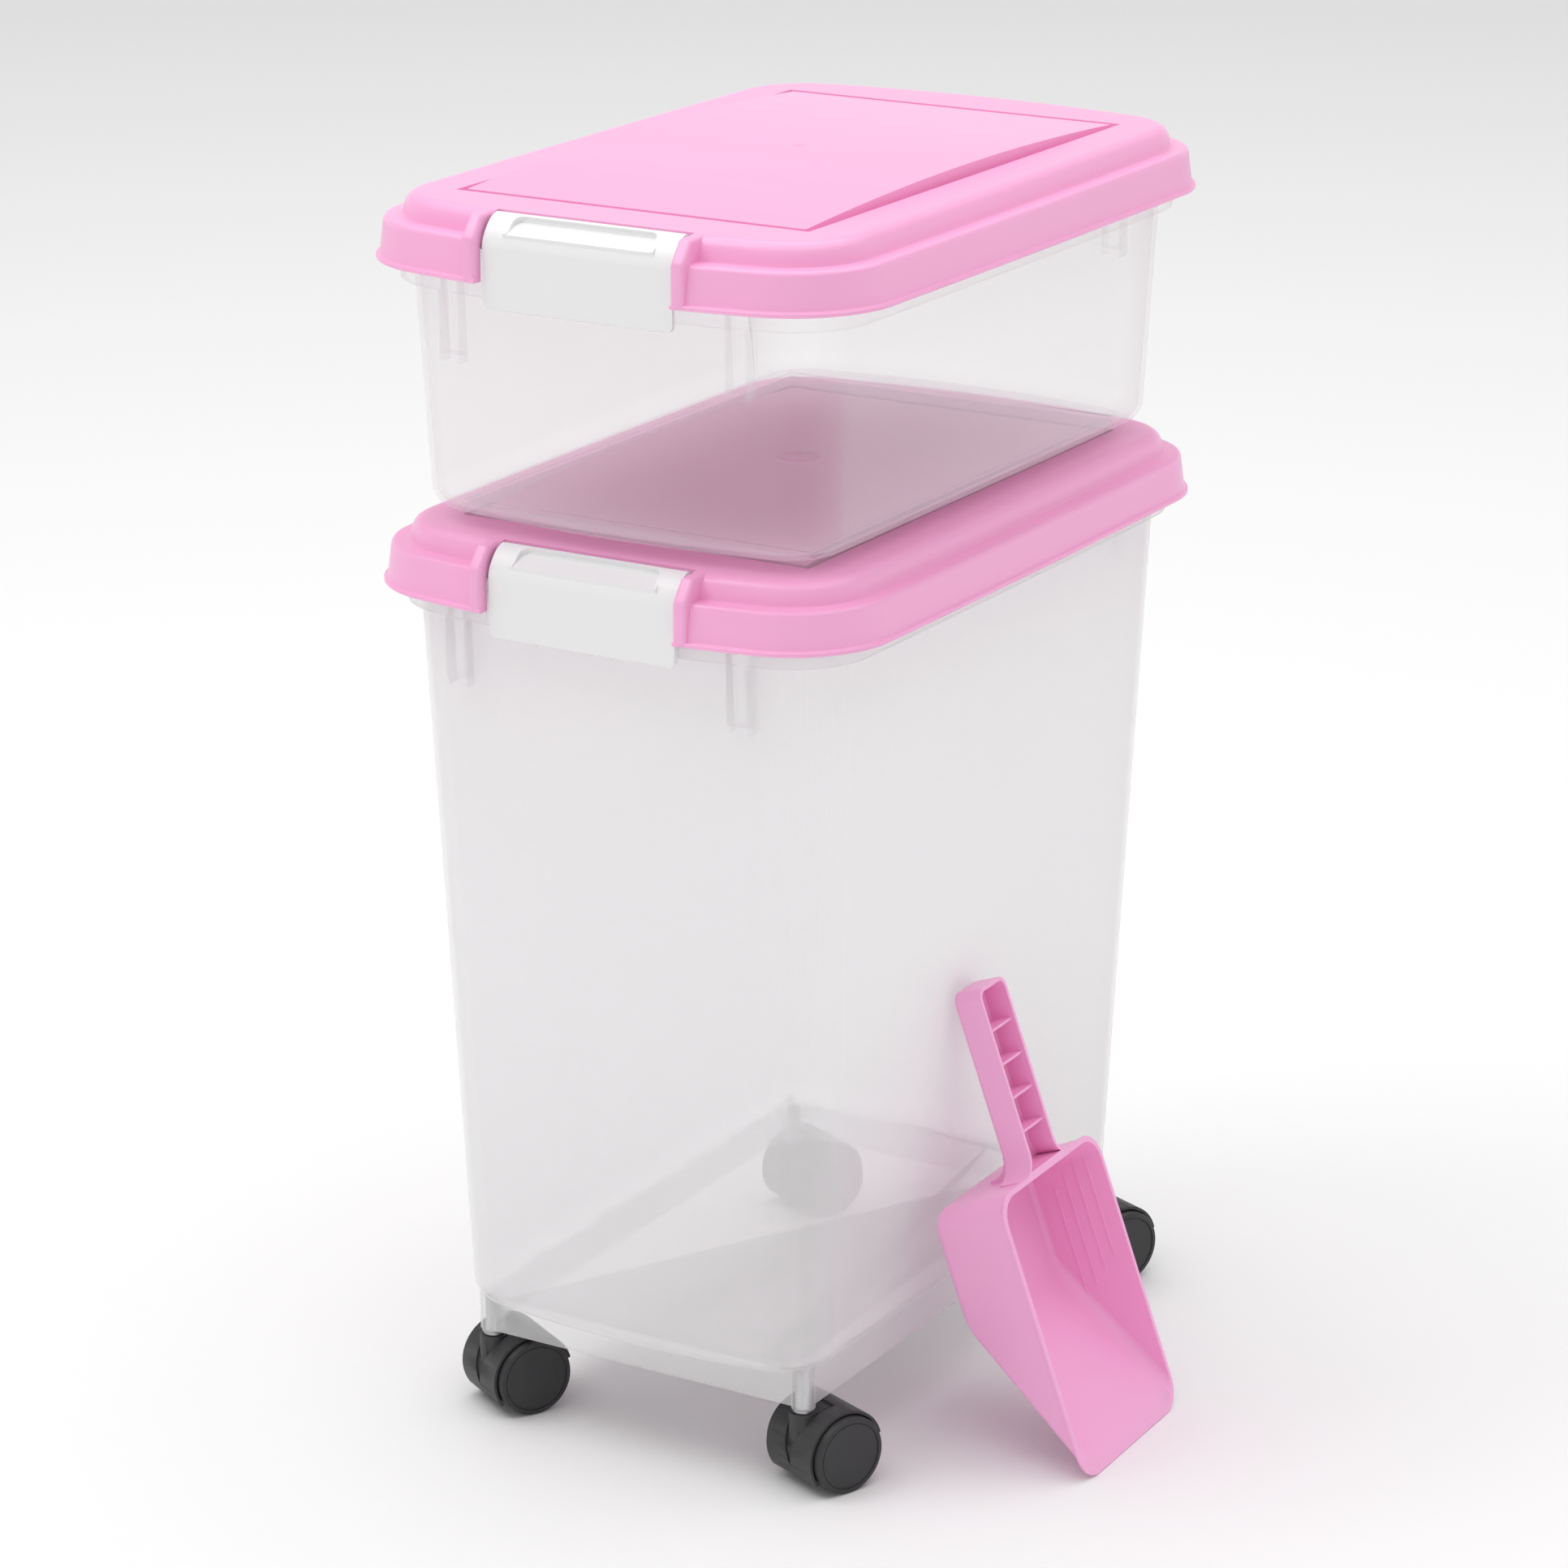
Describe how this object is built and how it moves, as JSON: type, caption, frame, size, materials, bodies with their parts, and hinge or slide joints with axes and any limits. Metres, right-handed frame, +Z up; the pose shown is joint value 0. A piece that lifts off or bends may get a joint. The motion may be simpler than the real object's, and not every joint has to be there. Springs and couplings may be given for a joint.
{
  "type": "pet food storage bin",
  "caption": "Tall rolling food bin with a shallow bin stacked in its hinged, latched lid, and a scoop leaning on its side.",
  "frame": {"origin": "on the floor, at the middle of the footprint of the bins and the scoop together", "axes": "+Z up, -Y towards the latches, +X towards the side that the scoop leans on"},
  "size_m": [0.3506, 0.4161, 0.6367],
  "materials": {
    "frosted_bin": "frosted, see-through polypropylene",
    "clear_bin": "clear, slightly milky polypropylene",
    "pink_lid": "satin pink moulding",
    "seal": "soft pale seal",
    "white_latch": "satin white moulding",
    "steel": "plain steel",
    "pink_scoop": "satin pink moulding, faintly see-through",
    "caster_hood": "fine-textured dark nylon",
    "caster_wheel": "fine-textured dark nylon"
  },
  "bodies": {
    "tall_bin": {"tall_bin": "frosted_bin", "tall_hinge_pins": "steel", "front_left_stem": "steel", "front_right_stem": "steel", "rear_left_stem": "steel", "rear_right_stem": "steel"},
    "tall_lid": {"tall_lid": "pink_lid", "tall_lid_seal": "seal"},
    "tall_latch": {"tall_latch": "white_latch"},
    "shallow_bin": {"shallow_bin": "clear_bin", "shallow_hinge_pins": "steel"},
    "shallow_lid": {"shallow_lid": "pink_lid", "shallow_lid_seal": "seal"},
    "shallow_latch": {"shallow_latch": "white_latch"},
    "scoop": {"scoop": "pink_scoop"},
    "front_left_caster": {"front_left_hood": "caster_hood", "front_left_axle": "steel"},
    "front_left_wheel_a": {"front_left_wheel_a": "caster_wheel"},
    "front_left_wheel_b": {"front_left_wheel_b": "caster_wheel"},
    "front_right_caster": {"front_right_hood": "caster_hood", "front_right_axle": "steel"},
    "front_right_wheel_a": {"front_right_wheel_a": "caster_wheel"},
    "front_right_wheel_b": {"front_right_wheel_b": "caster_wheel"},
    "rear_left_caster": {"rear_left_hood": "caster_hood", "rear_left_axle": "steel"},
    "rear_left_wheel_a": {"rear_left_wheel_a": "caster_wheel"},
    "rear_left_wheel_b": {"rear_left_wheel_b": "caster_wheel"},
    "rear_right_caster": {"rear_right_hood": "caster_hood", "rear_right_axle": "steel"},
    "rear_right_wheel_a": {"rear_right_wheel_a": "caster_wheel"},
    "rear_right_wheel_b": {"rear_right_wheel_b": "caster_wheel"}
  },
  "joints": [
    {"name": "tall_lid_hinge", "type": "hinge", "parent": "tall_bin", "child": "tall_lid", "pos_m": [-0.03712, 0.2025, 0.4371], "axis": [-1, 0, 0], "range_deg": [0, 100]},
    {"name": "tall_latch_pivot", "type": "hinge", "parent": "tall_lid", "child": "tall_latch", "pos_m": [-0.03712, -0.1883, 0.4692], "axis": [-1, 0, 0], "range_deg": [0, 100]},
    {"name": "shallow_bin_lift", "type": "slide", "parent": "tall_lid", "child": "shallow_bin", "axis": [0, 0, 1], "range_m": [0, 0.25]},
    {"name": "shallow_lid_hinge", "type": "hinge", "parent": "shallow_bin", "child": "shallow_lid", "pos_m": [-0.03712, 0.2025, 0.5961], "axis": [-1, 0, 0], "range_deg": [0, 100]},
    {"name": "shallow_latch_pivot", "type": "hinge", "parent": "shallow_lid", "child": "shallow_latch", "pos_m": [-0.03712, -0.1883, 0.6282], "axis": [-1, 0, 0], "range_deg": [0, 100]},
    {"name": "scoop_lift", "type": "slide", "parent": "tall_bin", "child": "scoop", "axis": [0.3, 0, 0.9539], "range_m": [0, 0.25]},
    {"name": "front_left_swivel", "type": "hinge", "parent": "tall_bin", "child": "front_left_caster", "pos_m": [-0.12882, -0.1505, 0.03], "axis": [0, 0, 1], "continuous": true},
    {"name": "front_left_wheel_a_spin", "type": "hinge", "parent": "front_left_caster", "child": "front_left_wheel_a", "pos_m": [-0.12251, -0.13913, 0.02], "axis": [0.8746, -0.4848, 0], "continuous": true},
    {"name": "front_left_wheel_b_spin", "type": "hinge", "parent": "front_left_caster", "child": "front_left_wheel_b", "pos_m": [-0.12251, -0.13913, 0.02], "axis": [0.8746, -0.4848, 0], "continuous": true},
    {"name": "front_right_swivel", "type": "hinge", "parent": "tall_bin", "child": "front_right_caster", "pos_m": [0.05458, -0.1505, 0.03], "axis": [0, 0, 1], "continuous": true},
    {"name": "front_right_wheel_a_spin", "type": "hinge", "parent": "front_right_caster", "child": "front_right_wheel_a", "pos_m": [0.05945, -0.13845, 0.02], "axis": [0.9272, -0.3746, 0], "continuous": true},
    {"name": "front_right_wheel_b_spin", "type": "hinge", "parent": "front_right_caster", "child": "front_right_wheel_b", "pos_m": [0.05945, -0.13845, 0.02], "axis": [0.9272, -0.3746, 0], "continuous": true},
    {"name": "rear_left_swivel", "type": "hinge", "parent": "tall_bin", "child": "rear_left_caster", "pos_m": [-0.12882, 0.1505, 0.03], "axis": [0, 0, 1], "continuous": true},
    {"name": "rear_left_wheel_a_spin", "type": "hinge", "parent": "rear_left_caster", "child": "rear_left_wheel_a", "pos_m": [-0.12332, 0.16228, 0.02], "axis": [0.9063, -0.4226, 0], "continuous": true},
    {"name": "rear_left_wheel_b_spin", "type": "hinge", "parent": "rear_left_caster", "child": "rear_left_wheel_b", "pos_m": [-0.12332, 0.16228, 0.02], "axis": [0.9063, -0.4226, 0], "continuous": true},
    {"name": "rear_right_swivel", "type": "hinge", "parent": "tall_bin", "child": "rear_right_caster", "pos_m": [0.05458, 0.1505, 0.03], "axis": [0, 0, 1], "continuous": true},
    {"name": "rear_right_wheel_a_spin", "type": "hinge", "parent": "rear_right_caster", "child": "rear_right_wheel_a", "pos_m": [0.05966, 0.16247, 0.02], "axis": [0.9205, -0.3907, 0], "continuous": true},
    {"name": "rear_right_wheel_b_spin", "type": "hinge", "parent": "rear_right_caster", "child": "rear_right_wheel_b", "pos_m": [0.05966, 0.16247, 0.02], "axis": [0.9205, -0.3907, 0], "continuous": true}
  ]
}
